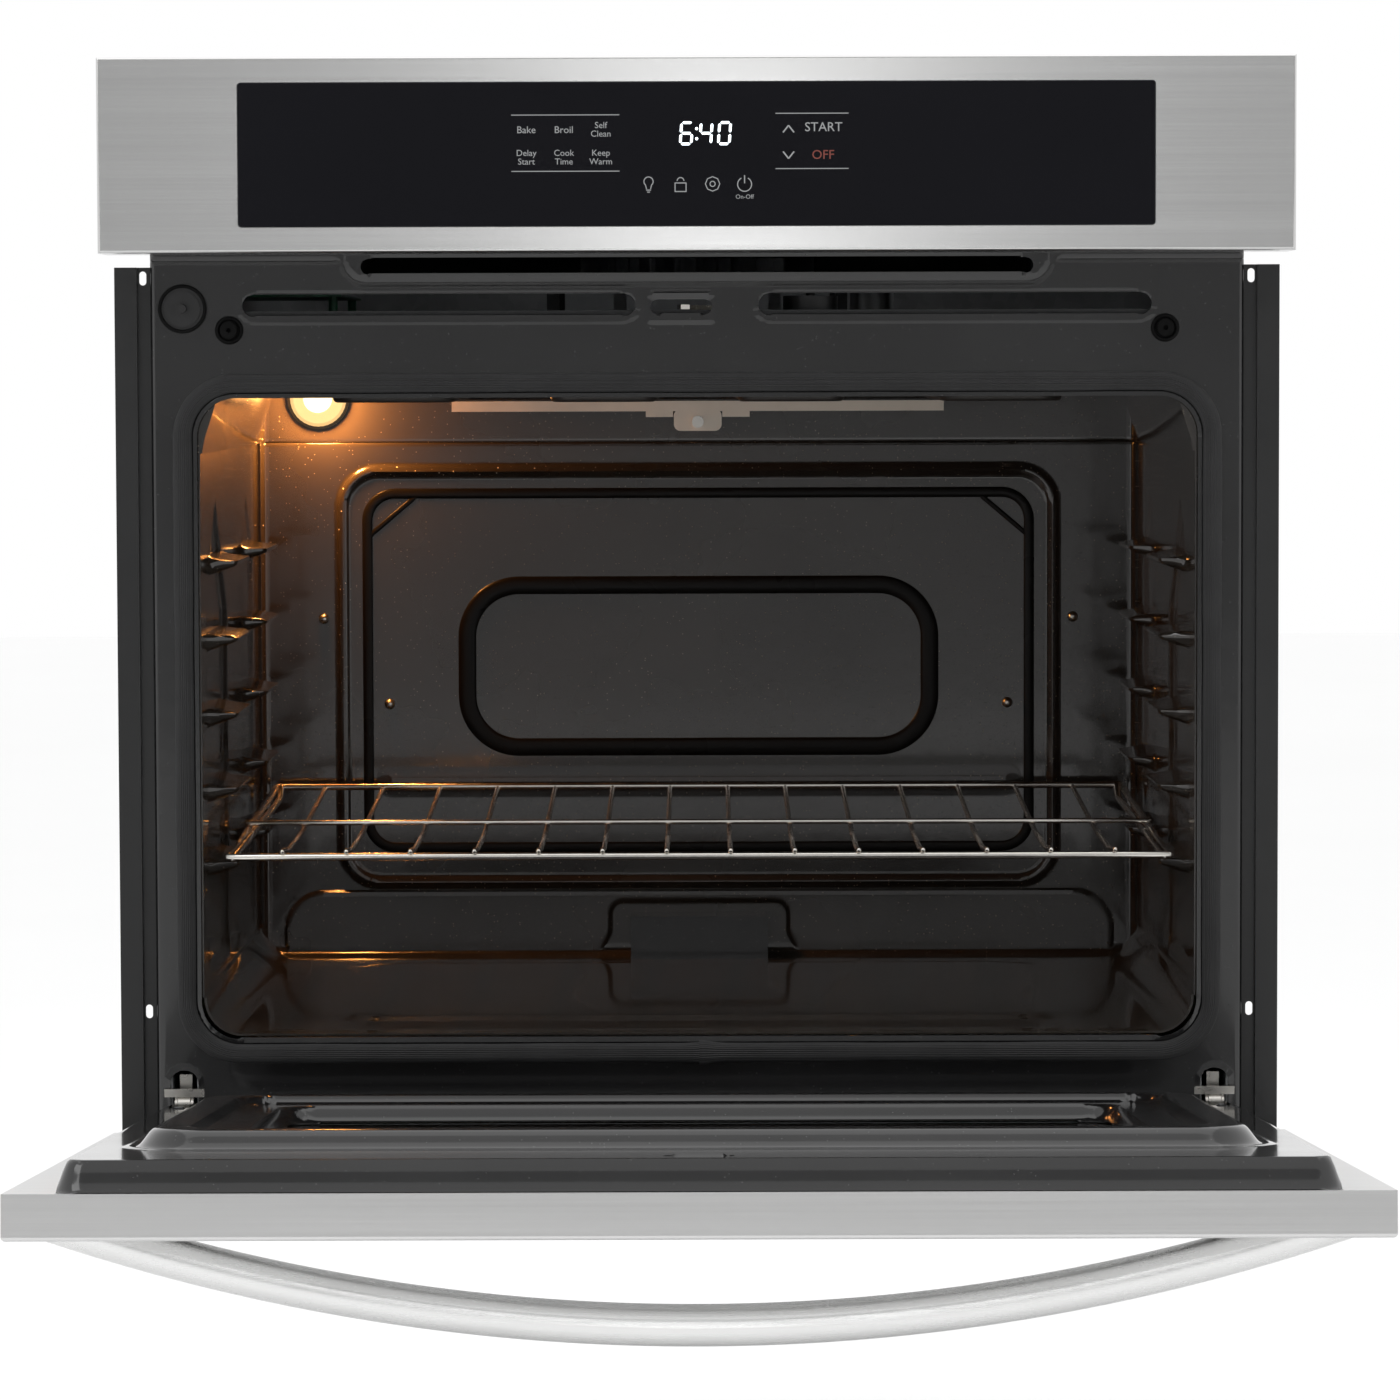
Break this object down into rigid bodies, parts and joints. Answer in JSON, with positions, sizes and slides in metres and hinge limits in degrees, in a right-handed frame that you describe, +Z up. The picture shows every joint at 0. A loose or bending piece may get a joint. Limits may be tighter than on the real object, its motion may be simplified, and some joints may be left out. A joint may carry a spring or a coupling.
{
  "type": "wall oven",
  "caption": "Built-in single electric wall oven with drop-down door, bowed handle, touch control panel and wire rack in a black enamelled cavity.",
  "frame": {"origin": "centre of the chassis underside, where the oven stands on the cabinet shelf", "axes": "+X to the right seen from the front, +Y to the back of the oven, +Z up; the front and the open door are towards -Y"},
  "size_m": [0.762, 1.1715, 0.7388],
  "materials": {
    "galv": "galvanised sheet steel",
    "porcelain": "glossy black porcelain enamel with fine specks",
    "gasket": "knitted graphite-grey rope",
    "insulation": "mineral-wool blanket",
    "black_paint": "satin black",
    "stainless": "brushed stainless steel",
    "element": "oxidised heating-element sheath",
    "bracket_metal": "plain bright steel",
    "ceramic": "glazed ceramic",
    "lamp_glass": "clear heat-resistant glass, warm",
    "black_plastic": "moulded black plastic",
    "bumper": "black silicone",
    "motor": "black motor can",
    "circuit": "green circuit board",
    "black_glass": "gloss black glass",
    "window_glass": "tinted heat-resistant glass",
    "rack_chrome": "bright plated wire"
  },
  "bodies": {
    "chassis": {"base_pan": "galv", "side_panel_right": "galv", "side_panel_left": "galv", "rear_panel": "galv", "top_cover": "galv", "component_deck": "galv", "front_frame": "porcelain", "door_gasket": "gasket", "cavity_floor": "porcelain", "cavity_wall_right": "porcelain", "cavity_wall_left": "porcelain", "cavity_ceiling": "porcelain", "cavity_back_wall": "porcelain", "insulation_wrap": "insulation", "side_trim_right": "black_paint", "side_trim_left": "black_paint", "bottom_trim": "stainless", "broil_element": "element", "broil_hanger": "bracket_metal", "broil_hanger_screw": "bracket_metal", "bake_element": "element", "bake_element_tray": "galv", "element_access_cover": "porcelain", "temperature_probe": "bracket_metal", "lamp_socket": "ceramic", "lamp_bulb": "lamp_glass", "lamp_lens": "lamp_glass", "door_switch_body": "black_plastic", "door_bumpers": "bumper", "latch_bracket": "galv", "latch_motor": "black_plastic", "hinge_receivers": "galv", "hinge_arms": "bracket_metal", "air_duct": "galv", "fan_housing": "galv", "fan_motor": "motor", "vent_tube": "galv", "relay_board": "circuit", "terminal_block": "black_plastic", "conduit_connector": "galv", "control_fascia": "stainless", "control_glass": "black_glass", "control_bracket": "galv", "control_board": "circuit"},
    "door": {"door_outer_skin": "stainless", "door_outer_glass": "black_glass", "door_inner_liner": "porcelain", "door_window_inner": "window_glass", "door_window_middle": "window_glass", "door_window_frame": "galv", "door_insulation": "insulation", "door_handle": "stainless", "hinge_bodies": "galv", "hinge_springs": "bracket_metal"},
    "rack": {"oven_rack": "rack_chrome"},
    "lock_left": {"hinge_lock_left": "bracket_metal"},
    "lock_right": {"hinge_lock_right": "bracket_metal"},
    "latch": {"latch_hook": "bracket_metal"},
    "switch": {"switch_plunger": "black_plastic"},
    "fan": {"fan_wheel": "galv"}
  },
  "joints": [
    {"name": "door_hinge", "type": "hinge", "parent": "chassis", "child": "door", "pos_m": [0, -0.312, 0.038], "axis": [-1, 0, 0], "range_deg": [0, 85.3]},
    {"name": "rack_slide", "type": "slide", "parent": "chassis", "child": "rack", "axis": [0, 1, 0], "range_m": [-0.3, 0]},
    {"name": "hinge_lock_left_flip", "type": "hinge", "parent": "chassis", "child": "lock_left", "pos_m": [-0.335, -0.2954, 0.0505], "axis": [-1, 0, 0], "range_deg": [-60, 0]},
    {"name": "hinge_lock_right_flip", "type": "hinge", "parent": "chassis", "child": "lock_right", "pos_m": [0.335, -0.2954, 0.0505], "axis": [-1, 0, 0], "range_deg": [-60, 0]},
    {"name": "latch_swing", "type": "hinge", "parent": "chassis", "child": "latch", "pos_m": [0.03, -0.272, 0.5667], "axis": [0, 0, 1], "range_deg": [0, 85]},
    {"name": "switch_press", "type": "slide", "parent": "chassis", "child": "switch", "axis": [0, 1, 0], "range_m": [0, 0.003], "stiffness_N_per_m": 400, "springref_m": -0.003},
    {"name": "fan_spin", "type": "hinge", "parent": "chassis", "child": "fan", "pos_m": [0, 0.15, 0.61], "axis": [0, 0, 1], "continuous": true}
  ]
}
